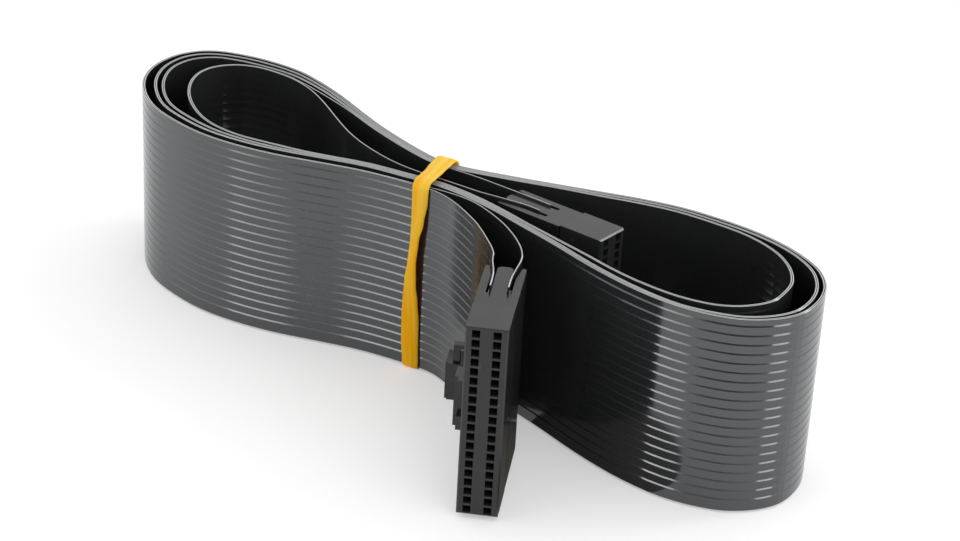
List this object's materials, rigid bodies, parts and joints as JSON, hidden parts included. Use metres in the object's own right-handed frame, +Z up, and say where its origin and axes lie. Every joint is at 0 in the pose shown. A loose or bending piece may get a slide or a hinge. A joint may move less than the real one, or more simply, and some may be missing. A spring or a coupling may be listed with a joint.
{
  "type": "ribbon cable",
  "caption": "Double flat ribbon cable wound on edge into a flat hank, held by a rubber band, with a two-row socket connector at each end.",
  "frame": {"origin": "middle of the hank's bounding box in plan, at the underside of the rubber band", "axes": "+X along the hank towards the lobe that holds the second connector, +Y away from the first connector's mating face, +Z up along the ribbon width"},
  "size_m": [0.2151, 0.1051, 0.0546],
  "materials": {
    "ribbon": "semi-gloss",
    "rubber": "satin",
    "housing": "satin",
    "contact": "polished"
  },
  "bodies": {
    "root": {"ribbon_outer": "ribbon", "ribbon_inner": "ribbon", "rubber_band": "rubber", "socket_housing_1": "housing", "rear_shell_1": "housing", "contacts_left_1": "contact", "contacts_right_1": "contact", "side_latch_1": "housing", "socket_housing_2": "housing", "rear_shell_2": "housing", "contacts_left_2": "contact", "contacts_right_2": "contact", "side_latch_2": "housing"}
  },
  "joints": []
}
